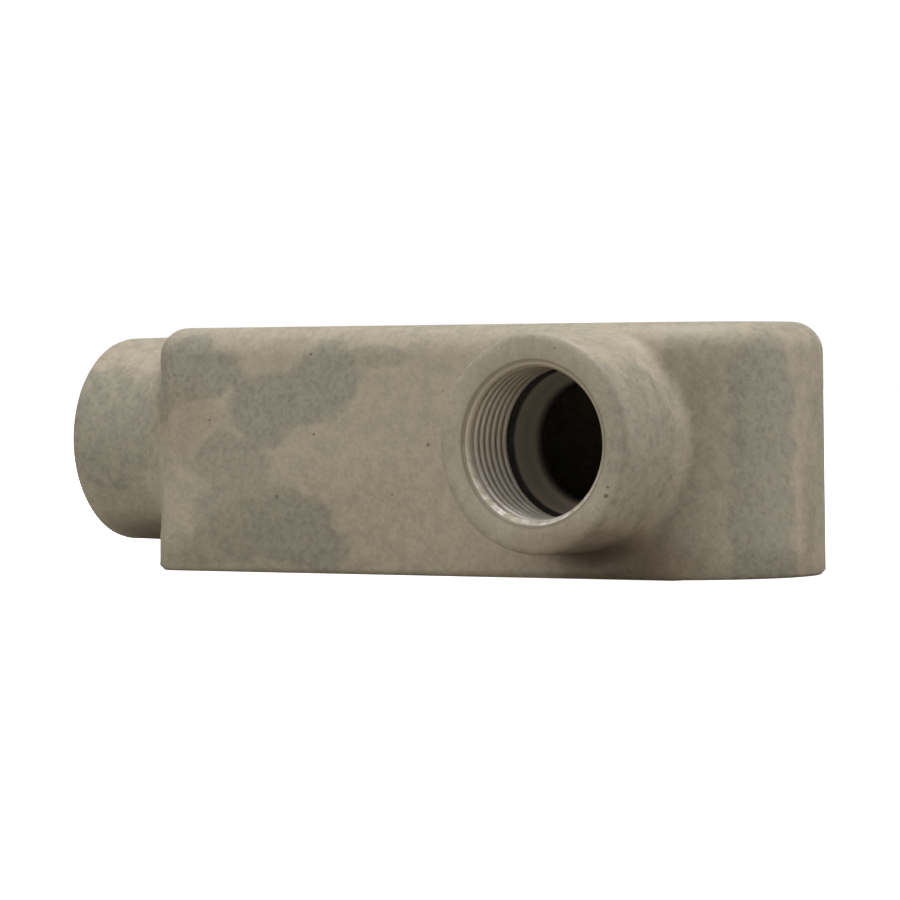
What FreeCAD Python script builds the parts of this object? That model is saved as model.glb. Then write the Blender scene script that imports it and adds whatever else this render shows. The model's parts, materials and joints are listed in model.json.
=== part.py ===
import FreeCAD
import Part
import math
import os

# Conduit body for 3/4 in threaded rigid conduit, cast in one piece: a box that is open
# on its cover face, with a threaded hub on one end and another on one side.
# Millimetres. The cover face lies in z = 0 with its centre at the origin and its back up.
# The end hub points to -X and the side hub to -Y.

Vector = FreeCAD.Vector

# Body
body_length = 123.0
body_width = 45.5
draft_angle = 0.45            # degrees, the walls lean in towards the back
back_edge_radius = 5.4
hub_end_corner_extra = 0.6    # plan corners by the end hub are this much rounder than the back
closed_end_flat = 0.8         # the other end is round but for this width
rim_edge_chamfer = 0.8

# Wiring chamber
wall = 3.4
back_wall = 3.8
chamber_edge_chamfer = 1.8

# Hubs, both at one height, which sets the height of the body
side_hub_x = 30.5
side_hub_length = 16.6        # from the wall of the body to the hub's face
end_hub_length = 20.2
hub_face_radius = 18.6
hub_lean = 1.0                # degrees, a hub widens towards the body
hub_face_edge_radius = 1.4
hub_to_cover_face = 4.3       # clear of the hubs' roots
hub_to_back = 1.3
side_hub_blend_radius = 3.0
end_hub_root_chamfer = 1.0

# Bores for a pipe of 26.67 mm
thread_radius = 13.3          # major radius of the thread
thread_depth = 12.6
mouth_rounding = 0.9
mouth_chamfer = 0.2
relief_radius = 13.8          # groove where the thread runs out
relief_width = 1.5
throat_radius = 10.3
bushing_radius = 2.3          # rounding that guards the wires at the throat
bushing_lip = 2.9             # how far the bushing stands into the chamber

# Cover screws, No. 8-32
screw_hole_radius = 2.08
screw_hole_depth = 7.5
screw_hole_chamfer = 0.4
screw_wall_distance = 3.2     # from the chamber's end wall to the hole's axis
screw_boss_radius = 4.2
screw_boss_height = 9.5
screw_boss_chamfer = 0.8

# Tools that cut reach this far past the surface they open
overshoot = 1.0



def leaned(distance, degrees):
    return distance * math.tan(math.radians(degrees))


def hub_radius(length, distance):
    """Outer radius of a hub at a distance out from the wall of the body."""
    return hub_face_radius + leaned(length - distance, hub_lean)


hub_root_radius = max(hub_radius(side_hub_length, 0), hub_radius(end_hub_length, 0))
hub_axis_height = hub_to_cover_face + hub_root_radius
body_height = hub_axis_height + hub_root_radius + hub_to_back

end_hub_pose = FreeCAD.Placement(
    Vector(-body_length / 2, 0, hub_axis_height), FreeCAD.Rotation(Vector(0, 1, 0), -90))
side_hub_pose = FreeCAD.Placement(
    Vector(side_hub_x, -body_width / 2, hub_axis_height), FreeCAD.Rotation(Vector(1, 0, 0), 90))


def plan_corner(side_x, side_y, inset):
    """Corner of the plan: the middle of its rounding, and its radius."""
    hub_end_radius = back_edge_radius + hub_end_corner_extra
    radius = (body_width - closed_end_flat) / 2 if side_x > 0 else hub_end_radius
    middle = Vector(side_x * (body_length / 2 - radius), side_y * (body_width / 2 - radius), 0)
    return middle, radius - inset


def drafted_block(inset, top):
    """Solid from the cover face up to a height, leaning in by the draft angle.

    Its walls are planes between round corners, which are cones about upright axes."""
    corners = [(-1, -1), (1, -1), (1, 1), (-1, 1)]
    outwards = [Vector(-1, 0, 0), Vector(0, -1, 0), Vector(1, 0, 0), Vector(0, 1, 0)]
    up = Vector(0, 0, 1)
    faces = []
    slants = []
    for (side_x, side_y), outward in zip(corners, outwards):
        middle, radius = plan_corner(side_x, side_y, inset)
        foot = middle + outward * radius
        head = middle + outward * (radius - leaned(top, draft_angle)) + up * top
        slant = Part.makeLine(foot, head)
        turned = slant.copy()
        turned.rotate(middle, up, 90)
        slants.append((slant, turned))
        faces.append(slant.revolve(middle, up, 90))
    for (_, leaving), (arriving, _) in zip(slants, slants[1:] + slants[:1]):
        ends = [v.Point for v in leaving.Vertexes + arriving.Vertexes[::-1]]
        faces.append(Part.Face(Part.makePolygon(ends + ends[:1])))
    for level in (0, top):
        outline = [edge for face in faces for edge in edges_at_height(face, level)]
        faces.append(Part.Face(Part.Wire(Part.__sortEdges__(outline))))
    shell = Part.makeShell(faces)
    shell.sewShape()
    return Part.makeSolid(shell)


def edges_at_height(shape, z):
    return [edge for edge in shape.Edges if all(abs(v.Z - z) < 1e-4 for v in edge.Vertexes)]


def outer_block():
    block = drafted_block(0, body_height)
    block = block.makeFillet(back_edge_radius, edges_at_height(block, body_height))
    return block.makeChamfer(rim_edge_chamfer, edges_at_height(block, 0))


def chamber():
    top = body_height - back_wall
    block = drafted_block(wall, top)
    return block.makeChamfer(chamber_edge_chamfer, edges_at_height(block, top))


def revolved(profile, pose):
    """Solid of revolution about +Z from a closed profile of (radius, height) points."""
    points = [Vector(radius, 0, height) for radius, height in profile]
    face = Part.Face(Part.makePolygon(points + points[:1]))
    solid = face.revolve(Vector(0, 0, 0), Vector(0, 0, 1), 360)
    solid.Placement = pose
    return solid


def rounding(radius, height, bend, start, end, steps):
    """Points of a profile's arc, as the middle's radius and height, the bend and two angles."""
    turns = [math.radians(start + (end - start) * step / steps) for step in range(steps + 1)]
    return [(radius + bend * math.cos(turn), height + bend * math.sin(turn)) for turn in turns]


def hub(length, pose):
    """Tapered hub, rooted inside the body so that its curved walls meet it all round."""
    root = -(wall + back_edge_radius)
    shoulder = hub_radius(length, length - hub_face_edge_radius) - hub_face_edge_radius
    face_edge = rounding(shoulder, length - hub_face_edge_radius, hub_face_edge_radius, 0, 90, 3)
    return revolved([(0, root), (hub_radius(length, root), root)] + face_edge + [(0, length)], pose)


def root_edges(joined, length, pose):
    """Edges where a hub's cone meets the body, which its seam lines don't count among."""
    to_hub = pose.inverse()

    def is_root(edge):
        span = edge.LastParameter - edge.FirstParameter
        for share in (0, 0.25, 0.5, 0.75, 1):
            point = to_hub.multVec(edge.valueAt(edge.FirstParameter + share * span))
            off_cone = math.hypot(point.x, point.y) - hub_radius(length, point.z)
            if abs(off_cone) > 1e-3 or point.z > length / 2:
                return False
        return True

    return [edge for edge in joined.Edges if is_root(edge)]


def with_side_hub(block):
    joined = block.fuse(hub(side_hub_length, side_hub_pose)).removeSplitter()
    return joined.makeFillet(side_hub_blend_radius, root_edges(joined, side_hub_length, side_hub_pose))


def with_end_hub(block):
    joined = block.fuse(hub(end_hub_length, end_hub_pose)).removeSplitter()
    return joined.makeChamfer(end_hub_root_chamfer, root_edges(joined, end_hub_length, end_hub_pose))


# Heights in a hub are counted outwards from the wall of the body
bushing_end = -(wall + bushing_lip)
throat = bushing_end + bushing_radius
plain_radius = throat_radius + bushing_radius


def bushing(pose):
    """Rounded collar that stands into the chamber round the throat."""
    root = -wall / 2
    collar = rounding(plain_radius, throat, bushing_radius, -90, 0, 1)
    return revolved([(0, root), (0, bushing_end)] + collar + [(plain_radius + bushing_radius, root)], pose)


def bore(length, pose):
    """What is cut out of a hub: throat, plain bore, relief groove, thread and mouth."""
    chamfer_radius = thread_radius + mouth_chamfer
    mouth_radius = chamfer_radius + mouth_rounding
    mouth = rounding(mouth_radius, length - mouth_rounding, mouth_rounding, 180, 90, 2)
    thread_end = length - thread_depth
    relief_end = thread_end - relief_width
    return revolved(
        [(0, bushing_end - overshoot), (plain_radius, bushing_end - overshoot)]
        + rounding(plain_radius, throat, bushing_radius, 270, 90, 4)
        + [(plain_radius, relief_end), (relief_radius, relief_end), (relief_radius, thread_end)]
        + [(thread_radius, thread_end), (thread_radius, length - mouth_rounding - mouth_chamfer)]
        + mouth
        + [(mouth_radius, length + overshoot), (0, length + overshoot)],
        pose)


def screw_x(side):
    return side * (body_length / 2 - wall - screw_wall_distance)


def screw_boss(side):
    """Pad for a cover screw against one end wall of the chamber."""
    x = screw_x(side)
    reach = screw_wall_distance + wall / 2
    post = Part.makeCylinder(screw_boss_radius, screw_boss_height, Vector(x, 0, 0))
    start = Vector(min(x, x + side * reach), -screw_boss_radius, 0)
    web = Part.makeBox(reach, 2 * screw_boss_radius, screw_boss_height, start)
    boss = post.fuse(web).removeSplitter()
    return boss.makeChamfer(screw_boss_chamfer, edges_at_height(boss, screw_boss_height))


def screw_hole(side):
    x = screw_x(side)
    mouth_radius = screw_hole_radius + screw_hole_chamfer
    hole = Part.makeCylinder(screw_hole_radius, screw_hole_depth, Vector(x, 0, 0))
    mouth = Part.makeCone(mouth_radius, screw_hole_radius, screw_hole_chamfer, Vector(x, 0, 0))
    return hole.fuse(mouth)


def conduit_body():
    body = with_end_hub(with_side_hub(outer_block()))
    body = body.cut(chamber())
    body = body.fuse([bushing(side_hub_pose), bushing(end_hub_pose), screw_boss(-1), screw_boss(1)])
    body = body.cut([bore(side_hub_length, side_hub_pose), bore(end_hub_length, end_hub_pose)])
    body = body.cut([screw_hole(-1), screw_hole(1)])
    return body.removeSplitter()


def main():
    os.makedirs("parts", exist_ok=True)
    body = conduit_body()
    print("valid", body.isValid(), "solids", len(body.Solids), "faces", len(body.Faces))
    box = body.BoundBox
    print("size %.2f x %.2f x %.2f mm" % (box.XLength, box.YLength, box.ZLength))
    body.Solids[0].exportStep("parts/conduit_body.step")


if __name__ == "__main__":
    main()
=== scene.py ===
import json
import math
import bmesh
import bpy
import numpy as np
from mathutils import Matrix, Vector


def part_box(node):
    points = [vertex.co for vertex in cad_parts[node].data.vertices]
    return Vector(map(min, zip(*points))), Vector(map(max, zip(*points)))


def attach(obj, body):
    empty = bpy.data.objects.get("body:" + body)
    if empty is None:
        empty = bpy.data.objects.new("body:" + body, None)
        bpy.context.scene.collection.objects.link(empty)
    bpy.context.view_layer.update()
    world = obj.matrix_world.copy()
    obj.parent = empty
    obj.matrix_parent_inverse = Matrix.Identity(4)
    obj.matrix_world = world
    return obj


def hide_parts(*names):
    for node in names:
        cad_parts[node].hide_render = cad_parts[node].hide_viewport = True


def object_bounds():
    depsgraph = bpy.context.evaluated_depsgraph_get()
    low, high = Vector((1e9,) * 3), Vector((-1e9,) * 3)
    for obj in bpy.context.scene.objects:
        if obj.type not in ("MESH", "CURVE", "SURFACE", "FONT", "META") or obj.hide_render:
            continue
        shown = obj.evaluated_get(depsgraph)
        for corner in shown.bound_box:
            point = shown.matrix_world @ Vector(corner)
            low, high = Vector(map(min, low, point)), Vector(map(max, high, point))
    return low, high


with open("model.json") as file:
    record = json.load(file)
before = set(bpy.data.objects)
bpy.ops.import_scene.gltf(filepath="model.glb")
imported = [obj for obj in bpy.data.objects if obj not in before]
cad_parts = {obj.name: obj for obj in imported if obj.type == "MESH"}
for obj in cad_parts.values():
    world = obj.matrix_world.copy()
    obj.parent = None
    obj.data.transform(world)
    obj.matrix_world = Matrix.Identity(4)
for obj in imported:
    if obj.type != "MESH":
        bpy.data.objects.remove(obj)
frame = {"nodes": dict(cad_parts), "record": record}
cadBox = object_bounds()
scene = bpy.context.scene
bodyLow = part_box("conduit_body")[0]
mounts = {mount["name"]: mount for mount in frame["record"]["mounts"]}
print("frame loaded:", ", ".join(sorted(frame["nodes"])))


# small helpers for node trees

def addNode(tree, kind, settings=None, inputs=None):
    node = tree.nodes.new(kind)
    for name, value in (settings or {}).items():
        setattr(node, name, value)
    for name, value in (inputs or {}).items():
        if isinstance(value, bpy.types.NodeSocket):
            tree.links.new(value, node.inputs[name])
        else:
            node.inputs[name].default_value = value
    return node


def addMath(tree, operation, first, second=0.0, clamp=False):
    node = addNode(tree, "ShaderNodeMath", {"operation": operation, "use_clamp": clamp},
                   {0: first, 1: second})
    return node.outputs[0]


def addRange(tree, value, low, high, newLow=0.0, newHigh=1.0):
    node = addNode(tree, "ShaderNodeMapRange", {"interpolation_type": "SMOOTHSTEP"},
                   {"Value": value, "From Min": low, "From Max": high,
                    "To Min": newLow, "To Max": newHigh})
    return node.outputs["Result"]


def addMix(tree, share, first, second, blend="MIX"):
    node = addNode(tree, "ShaderNodeMix", {"data_type": "RGBA", "blend_type": blend},
                   {0: share, 6: first, 7: second})
    return node.outputs[2]


def addNoise(tree, place, scale, detail=3.0, rough=0.5, distortion=0.0):
    node = addNode(tree, "ShaderNodeTexNoise", None,
                   {"Vector": place, "Scale": scale, "Detail": detail,
                    "Roughness": rough, "Distortion": distortion})
    return node.outputs[0]


def addFold(tree, operation, values):
    total = values[0]
    for value in values[1:]:
        total = addMath(tree, operation, total, value)
    return total


def addSockets(tree, rows):
    for name, way, kind, value in rows:
        socket = tree.interface.new_socket(name, in_out=way, socket_type=kind)
        if value is not None:
            socket.default_value = value


def linear(red, green, blue):
    parts = []
    for part in (red, green, blue):
        part = part / 255
        parts.append(part / 12.92 if part <= 0.04045 else ((part + 0.055) / 1.055) ** 2.4)
    return (*parts, 1.0)


# sand-cast skin: fine grain, open pits and a slow unevenness, used by every finish

grain = {
    "size": 0.0008,
    "pitSize": 0.0035,
    "middleScale": 0.28,  # shares of the grain's own scale
    "slowScale": 0.05,
    "fineNoise": (1.5, 0.5),  # detail and roughness
    "middleNoise": (3.0, 0.55),
    "slowNoise": (2.0, 0.5),
    "pitClusters": 0.35,
    "pitDetail": 1.0,
    "pitChance": (0.50, 0.72),
    "pitWidth": 0.06,
    "pitRagged": 0.16,
    "pitEdge": (-0.015, 0.05),
    "height": {"fine": 0.28, "middle": 0.55, "slow": 1.6, "pits": -0.9},
    "speckle": {"fine": 0.42, "middle": 0.58},
    "spread": (0.30, 0.70),  # the speckle's usual range
}


def makeGrainGroup():
    tree = bpy.data.node_groups.new("sandGrain", "ShaderNodeTree")
    addSockets(tree, [
        ("Place", "INPUT", "NodeSocketVector", None),
        ("Grain Size", "INPUT", "NodeSocketFloat", grain["size"]),
        ("Pit Size", "INPUT", "NodeSocketFloat", grain["pitSize"]),
        ("Height", "OUTPUT", "NodeSocketFloat", None),
        ("Speckle", "OUTPUT", "NodeSocketFloat", None),
        ("Pits", "OUTPUT", "NodeSocketFloat", None),
    ])
    given = addNode(tree, "NodeGroupInput").outputs
    place = given["Place"]
    grainScale = addMath(tree, "DIVIDE", 1.0, given["Grain Size"])
    pitScale = addMath(tree, "DIVIDE", 1.0, given["Pit Size"])
    middleScale = addMath(tree, "MULTIPLY", grainScale, grain["middleScale"])
    slowScale = addMath(tree, "MULTIPLY", grainScale, grain["slowScale"])
    layers = {
        "fine": addNoise(tree, place, grainScale, *grain["fineNoise"]),
        "middle": addNoise(tree, place, middleScale, *grain["middleNoise"]),
        "slow": addNoise(tree, place, slowScale, *grain["slowNoise"]),
    }
    cells = addNode(tree, "ShaderNodeTexVoronoi", {"feature": "F1"},
                    {"Vector": place, "Scale": pitScale, "Randomness": 1.0})
    clusterScale = addMath(tree, "MULTIPLY", pitScale, grain["pitClusters"])
    chance = addNoise(tree, place, clusterScale, grain["pitDetail"])
    width = addRange(tree, chance, *grain["pitChance"], 0.0, grain["pitWidth"])
    crooked = addMath(tree, "MULTIPLY", addMath(tree, "SUBTRACT", layers["middle"], 0.5), grain["pitRagged"])
    pits = addMath(tree, "SUBTRACT", addMath(tree, "ADD", width, crooked), cells.outputs["Distance"])
    layers["pits"] = addRange(tree, pits, *grain["pitEdge"])

    def blend(shares):
        return addFold(tree, "ADD", [addMath(tree, "MULTIPLY", layers[name], share)
                                     for name, share in shares.items()])

    addNode(tree, "NodeGroupOutput", None,
            {"Height": blend(grain["height"]), "Speckle": blend(grain["speckle"]), "Pits": layers["pits"]})
    return tree


# grey stains with ragged edges, and painted shade among them: a few listed one by one, the rest scattered by
# noise

stainsAndShade = {
    "stainAndShadeSpots": [  # centre x, y, z and reach x, y, z in mm, strength
        (-51, -23, 36.0, 10.5, 6, 5.5, 0.95),
        (-59, -20, 34.0, 5.0, 6, 8.0, 0.8),
        (-37, -23, 28.5, 6.5, 6, 6.0, 1.0),
        (-29, -23, 31.0, 8.5, 6, 5.0, 1.0),
        (-22, -23, 34.5, 7.0, 6, 6.5, 1.0),
        (-12, -23, 38.0, 8.0, 6, 2.0, 0.6),
        (-43, -23, 19.0, 7.5, 6, 6.0, 0.75),
        (-42, -23, 10.0, 9.0, 6, 8.0, 0.75),
        (-30, -23, 8.0, 9.0, 6, 6.5, 0.85),
        (-23, -23, 4.5, 6.0, 6, 4.0, 0.85),
        (-50, -23, 4.0, 8.0, 6, 3.0, 0.45),
        # painted shade on the closed end: these three are weak by the hub and strong towards the nose, to
        # even out how the light falls there
        (51, -17, 22.0, 10.0, 10, 24.0, 0.35),
        (58, -10, 30.0, 5.5, 7, 12.0, 0.9),
        (58, -10, 8.0, 5.5, 7, 32.0, 0.9),
        (30.5, -39.4, 23.3, 20.0, 4, 20.0, 0.4),
        (49, -33, 24.0, 8.0, 10, 19.0, 0.8),
        (-76, -20, 25.0, 15.0, 14, 13.0, 0.85),
    ],
    "paintedShade": [  # painted brown shade under the hubs and where the end hub meets the body, in the same terms
        (37, -26, 2.0, 13.0, 12, 6.0, 0.7),
        (36, -35, 7.0, 10.0, 6, 4.0, 0.6),
        (-69, -8, 4.0, 9.0, 10, 5.0, 0.35),
        (-54, -23, 27.0, 7.0, 6, 6.5, 0.22),
    ],
    "marks": [  # small open pits: place and reach in mm
        (-1.0, -22.5, 22.7, 0.35), (-25.0, -22.5, 24.5, 0.3), (-25.5, -22.5, 38.6, 0.3),
        (44.75, -39.35, 14.7, 0.45), (45.1, -39.35, 16.1, 0.25), (-8.5, -22.5, 14.0, 0.2),
        (-33.0, -22.5, 13.5, 0.25), (-47.5, -22.5, 27.0, 0.2),
    ],
    "blur": {"stainAndShadeSpots": 0.14, "paintedShade": 0.55, "marks": 0.5},  # share of the reach over which an edge fades
    "raggedNoise": (160.0, 5.0, 0.6),  # scale, detail and roughness
    "ragged": 1.1,
    "markDepth": 3.0,
    "markHeight": 0.8,
    "markRagged": 0.8,
    "scatter": 0.6,  # strength of the stains on the faces away from the side hub
    "scatterNoise": (34.0, 6.0, 0.58, 0.3),  # and distortion
    "scatterEdge": (0.50, 0.58),
    "frontEdge": (0.004, -0.004),
    "toneNoise": (22.0, 3.0, 0.5),
}


def makeStainAndShadeGroup():
    tree = bpy.data.node_groups.new("castStainsAndShade", "ShaderNodeTree")
    addSockets(tree, [
        ("Place", "INPUT", "NodeSocketVector", None),
        ("Scatter", "INPUT", "NodeSocketFloat", stainsAndShade["scatter"]),
        ("Mask", "OUTPUT", "NodeSocketFloat", None),
        ("Painted Shade", "OUTPUT", "NodeSocketFloat", None),
        ("Marks", "OUTPUT", "NodeSocketFloat", None),
        ("Tone", "OUTPUT", "NodeSocketFloat", None),
    ])
    given = addNode(tree, "NodeGroupInput").outputs
    place = given["Place"]
    ragged = addNoise(tree, place, *stainsAndShade["raggedNoise"])
    ragged = addMath(tree, "MULTIPLY", addMath(tree, "SUBTRACT", ragged, 0.5), stainsAndShade["ragged"])

    def spot(x, y, z, reachX, reachY, reachZ, strength, crooked, blur):
        away = addNode(tree, "ShaderNodeVectorMath", {"operation": "SUBTRACT"},
                       {0: place, 1: (x / 1000, y / 1000, z / 1000)})
        scaled = addNode(tree, "ShaderNodeVectorMath", {"operation": "MULTIPLY"},
                         {0: away.outputs[0], 1: (1000 / reachX, 1000 / reachY, 1000 / reachZ)})
        length = addNode(tree, "ShaderNodeVectorMath", {"operation": "LENGTH"}, {0: scaled.outputs[0]})
        edge = addMath(tree, "ADD", length.outputs["Value"], crooked)
        return addRange(tree, edge, 1.0 + blur, 1.0 - blur, 0.0, strength)

    def highest(rows, crooked, blur):
        return addFold(tree, "MAXIMUM", [spot(*row, crooked, blur) for row in rows])

    laid = highest(stainsAndShade["stainAndShadeSpots"], ragged, stainsAndShade["blur"]["stainAndShadeSpots"])
    # painted shade: brown darkening under the hubs and at the end hub's root
    paintedShade = highest(stainsAndShade["paintedShade"], ragged, stainsAndShade["blur"]["paintedShade"])
    markRows = [(x, y, z, reach, stainsAndShade["markDepth"], reach * stainsAndShade["markHeight"], 1.0)
                for x, y, z, reach in stainsAndShade["marks"]]
    markEdge = addMath(tree, "MULTIPLY", ragged, stainsAndShade["markRagged"])
    marks = highest(markRows, markEdge, stainsAndShade["blur"]["marks"])
    scatter = addNoise(tree, place, *stainsAndShade["scatterNoise"])
    y = addNode(tree, "ShaderNodeSeparateXYZ", None, {0: place}).outputs["Y"]
    elsewhere = addMath(tree, "SUBTRACT", 1.0, addRange(tree, y, *stainsAndShade["frontEdge"]))
    scattered = addMath(tree, "MULTIPLY", addRange(tree, scatter, *stainsAndShade["scatterEdge"]),
                        addMath(tree, "MULTIPLY", given["Scatter"], elsewhere))
    tone = addNoise(tree, place, *stainsAndShade["toneNoise"])
    addNode(tree, "NodeGroupOutput", None,
            {"Mask": addMath(tree, "MAXIMUM", laid, scattered), "Painted Shade": paintedShade, "Marks": marks, "Tone": tone})
    return tree


# inside a hub: the cut wall, painted shade in the groove behind the thread, the bore beyond it, painted shade
# darkening its throat, and a thin painted shadow round the mouth

hubMasks = {  # where each edge fades from nothing to full: radius, or depth behind the hub's face, in metres
    "inside": (0.0147, 0.0144),
    "cutStart": (0.0008, 0.0012),
    "cutEnd": (0.0144, 0.0140),
    "grooveStart": (0.0118, 0.0124),
    "grooveEnd": (0.0154, 0.0140),
    "boreEnd": (0.0235, 0.0225),
    "throat shade": (0.0115, 0.0102),
    "rimInner": (0.0137, 0.0140),
    "rimOuter": (0.0144, 0.0140),
    "rimDepth": (0.0014, 0.0010),
    "rimStrength": 0.7,
}
# the last three paint shade in the throat and the groove, and a shadow round the mouth
hubMaskNames = ("Cut", "Bore", "Throat Shade", "Groove Shade", "Rim Shadow")  # in the order they are painted


def makeHubGroup():
    tree = bpy.data.node_groups.new("hubMasks", "ShaderNodeTree")
    addSockets(tree, [(name, "INPUT", "NodeSocketVector", None)
                      for name in ("Place", "Face Centre", "Inward")])
    addSockets(tree, [(name, "OUTPUT", "NodeSocketFloat", None) for name in hubMaskNames])
    given = addNode(tree, "NodeGroupInput").outputs
    fromFace = addNode(tree, "ShaderNodeVectorMath", {"operation": "SUBTRACT"},
                       {0: given["Place"], 1: given["Face Centre"]}).outputs[0]
    depth = addNode(tree, "ShaderNodeVectorMath", {"operation": "DOT_PRODUCT"},
                    {0: fromFace, 1: given["Inward"]}).outputs["Value"]
    along = addNode(tree, "ShaderNodeVectorMath", {"operation": "SCALE"},
                    {0: given["Inward"], "Scale": depth}).outputs[0]
    across = addNode(tree, "ShaderNodeVectorMath", {"operation": "SUBTRACT"},
                     {0: fromFace, 1: along}).outputs[0]
    radius = addNode(tree, "ShaderNodeVectorMath", {"operation": "LENGTH"}, {0: across}).outputs["Value"]

    def within(first, *edges):
        return addFold(tree, "MULTIPLY", [first] + [addRange(tree, value, *hubMasks[edge])
                                                    for value, edge in edges])

    inside = addRange(tree, radius, *hubMasks["inside"])
    behind = within(inside, (depth, "grooveStart"))
    bore = within(behind, (depth, "boreEnd"))
    masks = {
        "Cut": within(inside, (depth, "cutStart"), (depth, "cutEnd")),
        "Bore": bore,
        # painted shade: the bore darkens towards the throat
        "Throat Shade": within(bore, (radius, "throat shade")),
        # painted shade in the groove behind the thread
        "Groove Shade": within(behind, (depth, "grooveEnd")),
        # painted shadow: a thin dark ring round the mouth
        "Rim Shadow": within(hubMasks["rimStrength"],
                      (radius, "rimInner"), (radius, "rimOuter"), (depth, "rimDepth")),
    }
    addNode(tree, "NodeGroupOutput", None, masks)
    return tree


endMount = Vector(mounts["end_hub_thread"]["pos_m"])
sideMount = Vector(mounts["side_hub_thread"]["pos_m"])
hubs = {  # centre of each hub's face, and the way in
    "endHub": (Vector((bodyLow.x, endMount.y, endMount.z)), Vector((1, 0, 0))),
    "sideHub": (Vector((sideMount.x, bodyLow.y, sideMount.z)), Vector((0, 1, 0))),
}

grainGroup = makeGrainGroup()
stainAndShadeGroup = makeStainAndShadeGroup()
hubGroup = makeHubGroup()

castFinish = {
    "base": linear(158, 149, 130),
    "warm": linear(161, 150, 131),
    "stainAndShade": linear(141, 136, 120),
    "pit": linear(70, 58, 44),
    "cut": linear(212, 203, 187),
    "bore": linear(136, 126, 112),
    # painted shade colours for the throat, the groove and the ring round the mouth
    "throat shade": linear(24, 18, 14),
    "groove shade": linear(26, 20, 14),
    "rim shadow": linear(116, 106, 90),
    # the colour of the painted brown shade under the hubs
    "paintedShade": linear(112, 94, 74),
    "warmth": (0.40, 0.64),
    "speckle": (0.84, 1.14),
    "mottleNoise": (850.0, 2.0),  # scale and detail
    "mottleEdge": (0.36, 0.50),
    "mottleDepth": 0.16,
    "pitStrength": 0.75,
    "rough": (0.54, 0.72),
    "metallic": 0.15,
    "grainHeight": 0.00018,
    "grainStrength": 1.0,
}


def setSurface(tree, shader, colour, skin, finish):
    rough = addRange(tree, skin["Speckle"], *grain["spread"], *finish["rough"])
    bump = addNode(tree, "ShaderNodeBump", None,
                   {"Strength": finish["grainStrength"], "Distance": finish["grainHeight"],
                    "Height": skin["Height"]})
    tree.links.new(colour, shader.inputs["Base Color"])
    tree.links.new(rough, shader.inputs["Roughness"])
    tree.links.new(bump.outputs[0], shader.inputs["Normal"])
    shader.inputs["Metallic"].default_value = finish["metallic"]


def makeCastMaterial(name, finish):
    material = bpy.data.materials.new(name)
    material.use_nodes = True
    tree = material.node_tree
    shader = tree.nodes["Principled BSDF"]
    place = addNode(tree, "ShaderNodeTexCoord").outputs["Object"]
    skin = addNode(tree, "ShaderNodeGroup", {"node_tree": grainGroup}, {"Place": place}).outputs
    stainAndShade = addNode(tree, "ShaderNodeGroup", {"node_tree": stainAndShadeGroup}, {"Place": place}).outputs
    colour = addMix(tree, addRange(tree, stainAndShade["Tone"], *finish["warmth"]), finish["base"], finish["warm"])
    # grey stains, with painted shade graded across the closed end
    colour = addMix(tree, stainAndShade["Mask"], colour, finish["stainAndShade"])
    # painted brown shade under the hubs and at the end hub's root
    colour = addMix(tree, stainAndShade["Painted Shade"], colour, finish["paintedShade"])
    speckle = addRange(tree, skin["Speckle"], *grain["spread"], *finish["speckle"])
    stained = addMath(tree, "MULTIPLY", stainAndShade["Mask"], finish["mottleDepth"])
    mottle = addRange(tree, addNoise(tree, place, *finish["mottleNoise"]), *finish["mottleEdge"],
                      addMath(tree, "SUBTRACT", 1.0, stained), 1.0)
    bright = addMath(tree, "MULTIPLY", speckle, mottle)
    brightColour = addNode(tree, "ShaderNodeCombineColor", None, {0: bright, 1: bright, 2: bright})
    colour = addMix(tree, 1.0, colour, brightColour.outputs[0], "MULTIPLY")
    holes = addMath(tree, "MAXIMUM", skin["Pits"], stainAndShade["Marks"])
    colour = addMix(tree, addMath(tree, "MULTIPLY", holes, finish["pitStrength"]), colour, finish["pit"])
    for faceCentre, inward in hubs.values():
        masks = addNode(tree, "ShaderNodeGroup", {"node_tree": hubGroup},
                        {"Place": place, "Face Centre": faceCentre, "Inward": inward}).outputs
        for mask in hubMaskNames:
            # the last three masks paint shade in the throat and the groove, and a shadow round the mouth
            colour = addMix(tree, masks[mask], colour, finish[mask.lower()])
    setSurface(tree, shader, colour, skin, finish)
    return material


castSkin = makeCastMaterial("castSkin", castFinish)
print("cast finish made")

# turned metal: painted shade towards the top, painted glints in patches towards the bottom, where the wall
# faces up

threadFinish = {
    # bright is the colour of the painted glints, shade that of the painted shade
    "bright": linear(220, 215, 211),
    "dull": linear(214, 204, 186),
    "shade": linear(160, 150, 130),
    "shineHeight": (0.0245, 0.0135),  # between these heights the painted glints and the painted shade come in
    "shadeHeight": (0.0275, 0.0355),
    "glintNoise": (700.0, 3.0),  # scale and detail
    "glintEdge": (0.34, 0.66),
    "rough": (0.42, 0.64),
    "metallic": 0.45,
    "grainSize": 0.0009,
    "grainHeight": 0.00006,
    "grainStrength": 0.6,
}
leadFinish = {**threadFinish, "bright": linear(214, 208, 200), "dull": linear(178, 168, 148)}


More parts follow.
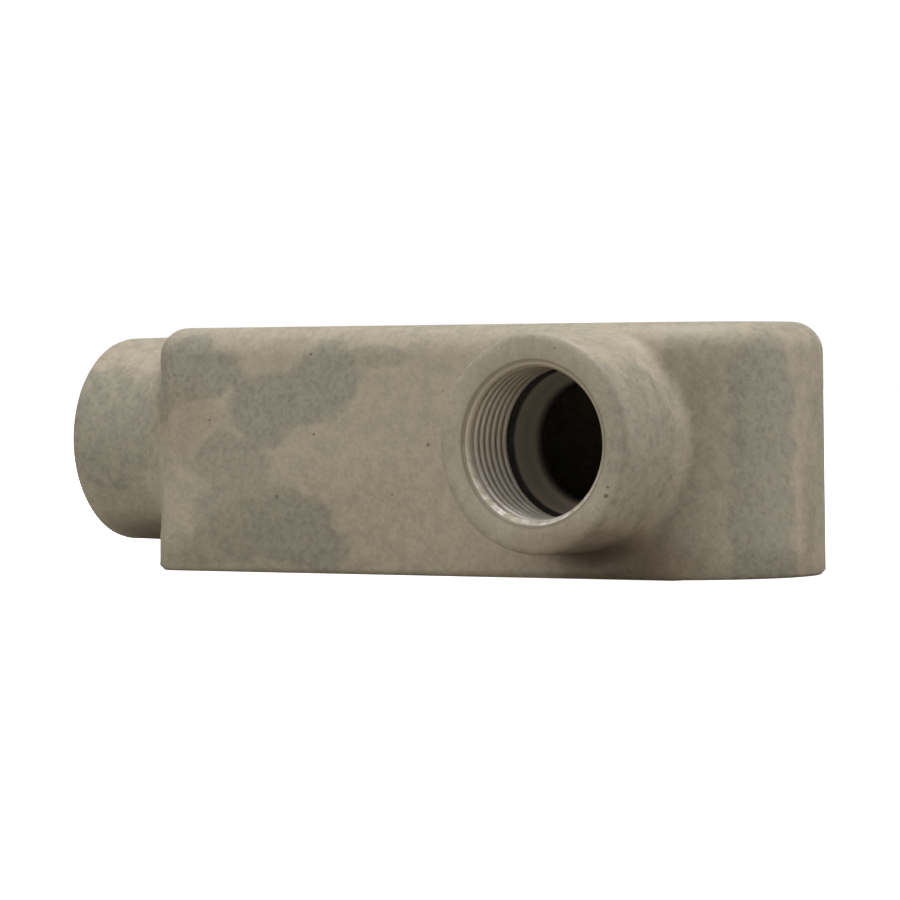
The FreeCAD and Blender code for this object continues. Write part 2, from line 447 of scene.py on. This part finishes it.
def makeMachinedMaterial(name, finish):
    material = bpy.data.materials.new(name)
    material.use_nodes = True
    tree = material.node_tree
    shader = tree.nodes["Principled BSDF"]
    place = addNode(tree, "ShaderNodeTexCoord").outputs["Object"]
    height = addNode(tree, "ShaderNodeSeparateXYZ", None, {0: place}).outputs["Z"]
    skin = addNode(tree, "ShaderNodeGroup", {"node_tree": grainGroup},
                   {"Place": place, "Grain Size": finish["grainSize"]}).outputs
    # painted glints: noise patches of the bright colour, stronger lower down
    paintedGlint = addMath(tree, "MULTIPLY",
                   addRange(tree, addNoise(tree, place, *finish["glintNoise"]), *finish["glintEdge"]),
                   addRange(tree, height, *finish["shineHeight"]))
    colour = addMix(tree, paintedGlint, finish["dull"], finish["bright"])
    # painted shade towards the top
    colour = addMix(tree, addRange(tree, height, *finish["shadeHeight"]), colour, finish["shade"])
    setSurface(tree, shader, colour, skin, finish)
    return material


cutThread = makeMachinedMaterial("cutThread", threadFinish)
cutLead = makeMachinedMaterial("cutLead", leadFinish)
print("machined finishes made")


# the casting: a merged copy of the CAD node, shaded smooth with crisp corners

casting = {
    "mergeDistance": 1e-6,
    "smoothAngle": 32.0,
    "rootRadius": 0.0190,  # end hub's outside where it leaves the body
    "rootReach": 0.0075,
    "rootCore": 0.0025,
    "flankReach": 0.0120,  # more of the body's upright corners beside the hub is drawn in
    "flankCore": 0.0065,
    "flankSide": (0.009, 0.016),  # where the flank comes in sideways, and fades at the top and the foot
    "flankTop": (0.030, 0.038),
    "flankFoot": (0.004, 0.011),
    "footHeight": 0.003,  # the end wall's place is read under this height
    "rimHeight": (0.001, 0.0035),  # the cover rim under this stays as it is
    "boreRadius": 0.0165,  # and so do the hub's bore and the chamber
    "chamberStart": 0.003,
    "chamberSide": 0.0197,
    "chamberTop": 0.041,
    "facet": 0.0008,
    "mostSplits": 12,
    "probes": 8,
    "passes": 160,
    "passShare": 0.6,
}


def smoothStep(value, low, high):
    share = min(max((value - low) / (high - low), 0.0), 1.0)
    return share * share * (3 - 2 * share)


# how freely a point may move when the end hub's root is blended into the body
def rootShare(place, wallX, settings):
    centre = hubs["endHub"][0]
    radius = math.hypot(place.y - centre.y, place.z - centre.z)
    inChamber = (place.x > wallX + settings["chamberStart"] and abs(place.y) < settings["chamberSide"]
                 and place.z < settings["chamberTop"])
    if radius < settings["boreRadius"] or inChamber:
        return 0.0
    away = math.hypot(radius - settings["rootRadius"], place.x - wallX)
    flank = smoothStep(abs(place.y), *settings["flankSide"])
    flank *= 1 - smoothStep(place.z, *settings["flankTop"])
    flank *= smoothStep(place.z, *settings["flankFoot"])
    core = settings["rootCore"] + (settings["flankCore"] - settings["rootCore"]) * flank
    reach = settings["rootReach"] + (settings["flankReach"] - settings["rootReach"]) * flank
    return (1 - smoothStep(away, core, reach)) * smoothStep(place.z, *settings["rimHeight"])


# split the edges that lie in the root until they are short enough to bend
def refineRoot(shape, wallX, settings):
    shares = [step / settings["probes"] for step in range(settings["probes"] + 1)]
    for _ in range(settings["mostSplits"]):
        longEdges = []
        for edge in shape.edges:
            first, second = (v.co for v in edge.verts)
            if (second - first).length > settings["facet"]:
                if any(rootShare(first.lerp(second, share), wallX, settings) > 0 for share in shares):
                    longEdges.append(edge)
        if not longEdges:
            break
        bmesh.ops.subdivide_edges(shape, edges=longEdges, cuts=1)
        bmesh.ops.triangulate(shape, faces=[face for face in shape.faces if len(face.verts) > 3])


# draw each free point towards the middle of its neighbours, many times over
def blendRoot(shape, settings):
    wallX = min(v.co.x for v in shape.verts if v.co.z < settings["footHeight"])
    refineRoot(shape, wallX, settings)
    shape.verts.index_update()
    share = np.array([rootShare(v.co, wallX, settings) for v in shape.verts])
    places = np.array([v.co for v in shape.verts])
    pairs = np.array([[v.index for v in edge.verts] for edge in shape.edges])
    pairs = pairs[(share[pairs] > 0).any(axis=1)]
    count = np.bincount(pairs.ravel(), minlength=len(places)).clip(1)[:, None]
    for _ in range(settings["passes"]):
        total = np.zeros_like(places)
        np.add.at(total, pairs[:, 0], places[pairs[:, 1]])
        np.add.at(total, pairs[:, 1], places[pairs[:, 0]])
        places = places + (total / count - places) * share[:, None] * settings["passShare"]
    for v in shape.verts:
        if share[v.index] > 0:
            v.co = places[v.index]


def makeCasting(settings):
    node = frame["nodes"]["conduit_body"]
    mesh = node.data.copy()
    mesh.name = "castBody"
    shape = bmesh.new()
    shape.from_mesh(mesh)
    bmesh.ops.remove_doubles(shape, verts=shape.verts, dist=settings["mergeDistance"])
    blendRoot(shape, settings)
    shape.to_mesh(mesh)
    shape.free()
    mesh.materials.clear()
    mesh.materials.append(castSkin)
    mesh.polygons.foreach_set("material_index", [0] * len(mesh.polygons))
    mesh.polygons.foreach_set("use_smooth", [True] * len(mesh.polygons))
    mesh.set_sharp_from_angle(angle=math.radians(settings["smoothAngle"]))
    piece = bpy.data.objects.new("castBody", mesh)
    scene.collection.objects.link(piece)
    return piece


castBody = makeCasting(casting)
print("casting:", len(castBody.data.polygons), "faces")


# the thread in each hub: a helical ridge on the bored wall, behind a turned lead-in

thread = {
    "wallRadius": 0.01332,
    "pitch": 0.001814,
    "ridge": 0.00056,
    "turns": 6.3,
    "firstDepth": 0.0014,
    "steps": 96,
    "leadStart": 0.00030,
    "leadEnd": 0.00125,
    "leadOuter": 0.01395,
    "leadInner": 0.01290,
    "lip": 0.0001,
    "crest": 0.09,  # half the crest's width, as a share of the pitch
    "fade": 26.0,  # how steeply the ridge rises at its ends, and where it starts
    "leastRise": 0.02,
    "mergeDistance": 1e-7,
}
threadInputs = {
    "Wall Radius": ("NodeSocketFloat", thread["wallRadius"]),
    "Pitch": ("NodeSocketFloat", thread["pitch"]),
    "Ridge": ("NodeSocketFloat", thread["ridge"]),
    "Turns": ("NodeSocketFloat", thread["turns"]),
    "Steps": ("NodeSocketInt", thread["steps"]),
    "First Depth": ("NodeSocketFloat", thread["firstDepth"]),
    "Lead Start": ("NodeSocketFloat", thread["leadStart"]),
    "Lead End": ("NodeSocketFloat", thread["leadEnd"]),
    "Lead Outer": ("NodeSocketFloat", thread["leadOuter"]),
    "Lead Inner": ("NodeSocketFloat", thread["leadInner"]),
    "Thread Material": ("NodeSocketMaterial", cutThread),
    "Lead Material": ("NodeSocketMaterial", cutLead),
}


def makeThreadTree():
    tree = bpy.data.node_groups.new("hubThread", "GeometryNodeTree")
    addSockets(tree, [("Geometry", "INPUT", "NodeSocketGeometry", None)])
    addSockets(tree, [(name, "INPUT", kind, value) for name, (kind, value) in threadInputs.items()])
    addSockets(tree, [("Geometry", "OUTPUT", "NodeSocketGeometry", None)])
    given = addNode(tree, "NodeGroupInput").outputs

    def corner(x, y):
        return addNode(tree, "ShaderNodeCombineXYZ", None, {0: x, 1: y}).outputs[0]

    def quad(points):
        return addNode(tree, "GeometryNodeCurvePrimitiveQuadrilateral", {"mode": "POINTS"},
                       {"Point " + str(i + 1): point for i, point in enumerate(points)}).outputs[0]

    def minus(value):
        return addMath(tree, "MULTIPLY", value, -1.0)

    helix = addNode(tree, "GeometryNodeCurveSpiral", None,
                    {"Resolution": given["Steps"], "Rotations": given["Turns"],
                     "Start Radius": given["Wall Radius"], "End Radius": given["Wall Radius"],
                     "Height": addMath(tree, "MULTIPLY", given["Turns"], given["Pitch"])})
    upright = addNode(tree, "GeometryNodeSetCurveNormal", {"mode": "Z_UP"}, {0: helix.outputs[0]})
    along = addNode(tree, "GeometryNodeSplineParameter").outputs["Factor"]
    fromEnd = addMath(tree, "MINIMUM", along, addMath(tree, "SUBTRACT", 1.0, along))
    rise = addMath(tree, "MULTIPLY", fromEnd, thread["fade"])
    rise = addMath(tree, "MINIMUM", rise, 1.0 - thread["leastRise"])
    rise = addMath(tree, "ADD", rise, thread["leastRise"])
    half = addMath(tree, "MULTIPLY", given["Pitch"], 0.5)
    crest = addMath(tree, "MULTIPLY", given["Pitch"], thread["crest"])
    ridgeShape = quad([corner(0.0, minus(half)), corner(given["Ridge"], minus(crest)),
                       corner(given["Ridge"], crest), corner(0.0, half)])
    ridge = addNode(tree, "GeometryNodeCurveToMesh", None,
                    {"Curve": upright.outputs[0], "Profile Curve": ridgeShape, "Scale": rise,
                     "Fill Caps": True})
    start = addNode(tree, "ShaderNodeCombineXYZ", None, {2: given["First Depth"]})
    ridgePlaced = addNode(tree, "GeometryNodeTransform", None,
                          {"Geometry": ridge.outputs[0], "Translation": start.outputs[0]})
    # a circle runs the other way round than the helix, so its profile is turned over
    circle = addNode(tree, "GeometryNodeCurvePrimitiveCircle", None,
                     {"Resolution": given["Steps"], "Radius": given["Lead Outer"]})
    ring = addNode(tree, "GeometryNodeSetCurveNormal", {"mode": "Z_UP"}, {0: circle.outputs[0]})
    drop = addMath(tree, "SUBTRACT", given["Lead Inner"], given["Lead Outer"])
    leadEnd = minus(given["Lead End"])
    lipEnd = addMath(tree, "SUBTRACT", leadEnd, thread["lip"])
    leadShape = quad([corner(0.0, minus(given["Lead Start"])), corner(drop, leadEnd),
                      corner(drop, lipEnd), corner(0.0, lipEnd)])
    lead = addNode(tree, "GeometryNodeCurveToMesh", None,
                   {"Curve": ring.outputs[0], "Profile Curve": leadShape})
    joined = addNode(tree, "GeometryNodeJoinGeometry")
    for part, material in ((ridgePlaced, "Thread Material"), (lead, "Lead Material")):
        real = addNode(tree, "GeometryNodeRealizeInstances", None, {0: part.outputs[0]})
        painted = addNode(tree, "GeometryNodeSetMaterial", None,
                          {"Geometry": real.outputs[0], "Material": given[material]})
        tree.links.new(painted.outputs[0], joined.inputs[0])
    addNode(tree, "NodeGroupOutput", None, {"Geometry": joined.outputs[0]})
    return tree


def setInputs(modifier, tree, values):
    for item in tree.interface.items_tree:
        if item.item_type == "SOCKET" and item.in_out == "INPUT" and item.name in values:
            modifier[item.identifier] = values[item.name]


def settle(maker, name, place):
    graph = bpy.context.evaluated_depsgraph_get()
    mesh = bpy.data.meshes.new_from_object(maker.evaluated_get(graph), depsgraph=graph)
    mesh.name = name
    bpy.data.objects.remove(maker)
    mesh.transform(place)
    shape = bmesh.new()
    shape.from_mesh(mesh)
    bmesh.ops.remove_doubles(shape, verts=shape.verts, dist=thread["mergeDistance"])
    bmesh.ops.recalc_face_normals(shape, faces=shape.faces)
    shape.to_mesh(mesh)
    shape.free()
    piece = bpy.data.objects.new(name, mesh)
    scene.collection.objects.link(piece)
    return piece


threadTree = makeThreadTree()


def makeThread(name, faceCentre, inward):
    maker = bpy.data.objects.new(name + "Maker", bpy.data.meshes.new(name + "Maker"))
    scene.collection.objects.link(maker)
    modifier = maker.modifiers.new("thread", "NODES")
    modifier.node_group = threadTree
    setInputs(modifier, threadTree, {name: value for name, (kind, value) in threadInputs.items()})
    turn = Vector(inward).to_track_quat("Z", "Y").to_matrix().to_4x4()
    return settle(maker, name, Matrix.Translation(faceCentre) @ turn)


threads = [makeThread(name + "Thread", faceCentre, inward) for name, (faceCentre, inward) in hubs.items()]
for piece, (faceCentre, inward) in zip(threads, hubs.values()):
    away = [v.co - faceCentre for v in piece.data.vertices]
    depths = [part.dot(inward) for part in away]
    radii = [(part - inward * depth).length for part, depth in zip(away, depths)]
    print(piece.name, len(piece.data.polygons), "faces, radius", round(min(radii), 5), round(max(radii), 5),
          "depth", round(min(depths), 5), round(max(depths), 5))

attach(castBody, "root")
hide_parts("conduit_body")
for piece in threads:
    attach(piece, "root")
print("pieces placed")


# pale floor, soft lights and the camera

studio = {
    "floorSize": 6.0,
    "floorSides": 64,
    "floorGap": 0.0001,
    "floorColour": (0.84, 0.84, 0.84, 1.0),
    "floorBounce": (0.40, 0.38, 0.34, 1.0),
    "floorRough": 0.9,
    "floorSpecular": 0.1,
    "shaded": [("X", -0.006, 0.052), ("Y", 0.0, 0.0202)],  # under the chamber the floor stays dark
    "shadedEdge": (1.0, 1.04),
    "worldLight": 0.42,
    "white": 1.02,
}


def makeFloorPaint(settings):
    paint = bpy.data.materials.new("floorPaint")
    paint.use_nodes = True
    tree = paint.node_tree
    shader = tree.nodes["Principled BSDF"]
    shader.inputs["Roughness"].default_value = settings["floorRough"]
    shader.inputs["Specular IOR Level"].default_value = settings["floorSpecular"]
    shader.inputs["Emission Color"].default_value = (1, 1, 1, 1)
    seen = addNode(tree, "ShaderNodeLightPath").outputs["Is Camera Ray"]
    colour = addMix(tree, seen, settings["floorBounce"], settings["floorColour"])
    tree.links.new(colour, shader.inputs["Base Color"])
    place = addNode(tree, "ShaderNodeTexCoord").outputs["Object"]
    axes = addNode(tree, "ShaderNodeSeparateXYZ", None, {0: place}).outputs
    reaches = []
    for axis, centre, reach in settings["shaded"]:
        away = addMath(tree, "ABSOLUTE", addMath(tree, "SUBTRACT", axes[axis], centre))
        reaches.append(addMath(tree, "DIVIDE", away, reach))
    glow = addRange(tree, addMath(tree, "MAXIMUM", *reaches), *settings["shadedEdge"], 0.0, settings["white"])
    tree.links.new(addMath(tree, "MULTIPLY", glow, seen), shader.inputs["Emission Strength"])
    return paint


def makeFloor(settings):
    mesh = bpy.data.meshes.new("studioFloor")
    shape = bmesh.new()
    bmesh.ops.create_circle(shape, cap_ends=True, radius=settings["floorSize"],
                            segments=settings["floorSides"])
    bmesh.ops.translate(shape, verts=shape.verts, vec=(0, 0, cadBox[0].z - settings["floorGap"]))
    shape.to_mesh(mesh)
    shape.free()
    mesh.materials.append(makeFloorPaint(settings))
    floor = bpy.data.objects.new("studioFloor", mesh)
    scene.collection.objects.link(floor)
    return floor


def makeWorld(settings):
    world = bpy.data.worlds.new("studioWorld")
    world.use_nodes = True
    tree = world.node_tree
    backing = tree.nodes["Background"]
    backing.inputs["Color"].default_value = (1, 1, 1, 1)
    seen = addNode(tree, "ShaderNodeLightPath").outputs["Is Camera Ray"]
    tree.links.new(addRange(tree, seen, 0.0, 1.0, settings["worldLight"], settings["white"]),
                   backing.inputs["Strength"])
    return world


studioFloor = makeFloor(studio)
scene.world = makeWorld(studio)

lights = {  # place, aim, size, power, colour
    "topSoft": ((0.0, -0.02, 1.1), (0, 0, 0), 0.55, 10.6, (0.96, 0.985, 1.0)),
    "frontSoft": ((-0.45, -1.25, 0.22), (0, 0, 0.02), 0.9, 7.7, (1.0, 0.985, 0.955)),
    "rightSoft": ((1.1, 0.40, 0.30), (0, 0, 0.02), 0.4, 5.0, (1.0, 0.98, 0.96)),
}
for name, (place, aim, size, power, colour) in lights.items():
    lamp = bpy.data.lights.new(name, "AREA")
    lamp.shape = "SQUARE"
    lamp.size = size
    lamp.energy = power
    lamp.color = colour
    holder = bpy.data.objects.new(name, lamp)
    holder.location = place
    holder.rotation_mode = "QUATERNION"
    holder.rotation_quaternion = (Vector(aim) - Vector(place)).to_track_quat("-Z", "Y")
    scene.collection.objects.link(holder)

shot = {
    "aim": (0.0, 0.0, 0.0218),
    "azimuth": 32.07,
    "elevation": 1.0,
    "distance": 0.815,
    "lens": 184.0,
    "sensor": 36.0,
    "clip": (0.01, 20.0),
    "roll": -0.42,
    "shift": (-0.0581, -0.0027),
}
azimuth, elevation = math.radians(shot["azimuth"]), math.radians(shot["elevation"])
right = Vector((math.cos(azimuth), math.sin(azimuth), 0))
back = Vector((math.sin(azimuth) * math.cos(elevation), -math.cos(azimuth) * math.cos(elevation),
               math.sin(elevation)))
facing = Matrix((right, back.cross(right), back)).transposed()
lens = bpy.data.cameras.new("camera")
lens.lens = shot["lens"]
lens.sensor_width = shot["sensor"]
lens.shift_x, lens.shift_y = shot["shift"]
lens.clip_start, lens.clip_end = shot["clip"]
camera = bpy.data.objects.new("camera", lens)
camera.location = Vector(shot["aim"]) + back * shot["distance"]
camera.rotation_mode = "QUATERNION"
camera.rotation_quaternion = (facing @ Matrix.Rotation(math.radians(shot["roll"]), 3, "Z")).to_quaternion()
scene.collection.objects.link(camera)
scene.camera = camera
scene.view_settings.view_transform = "Standard"
print("camera and lights set")
